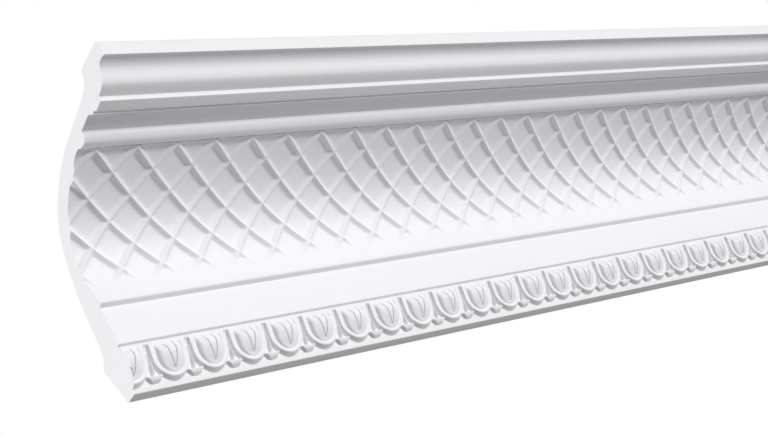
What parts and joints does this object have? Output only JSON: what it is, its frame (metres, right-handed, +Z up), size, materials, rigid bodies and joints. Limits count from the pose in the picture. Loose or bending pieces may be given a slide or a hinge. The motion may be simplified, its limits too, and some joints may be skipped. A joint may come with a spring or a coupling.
{
  "type": "ceiling cornice moulding",
  "caption": "Straight length of ceiling cornice: stepped top mouldings, trellised cove, plain fascia and an egg-and-dart band, cast in one piece with a hollow back.",
  "frame": {"origin": "middle of the flat that beds on the wall, half way along the length", "axes": "+X along the moulding, +Y into the wall, +Z up towards the ceiling; the carved face looks to -Y and down"},
  "size_m": [1.04, 0.186, 0.1753],
  "materials": {
    "cast_white_polyurethane": "primed white rigid polyurethane foam, smooth cast skin, matt with a slight sheen"
  },
  "bodies": {
    "root": {"cornice_moulding": "cast_white_polyurethane"}
  },
  "joints": []
}
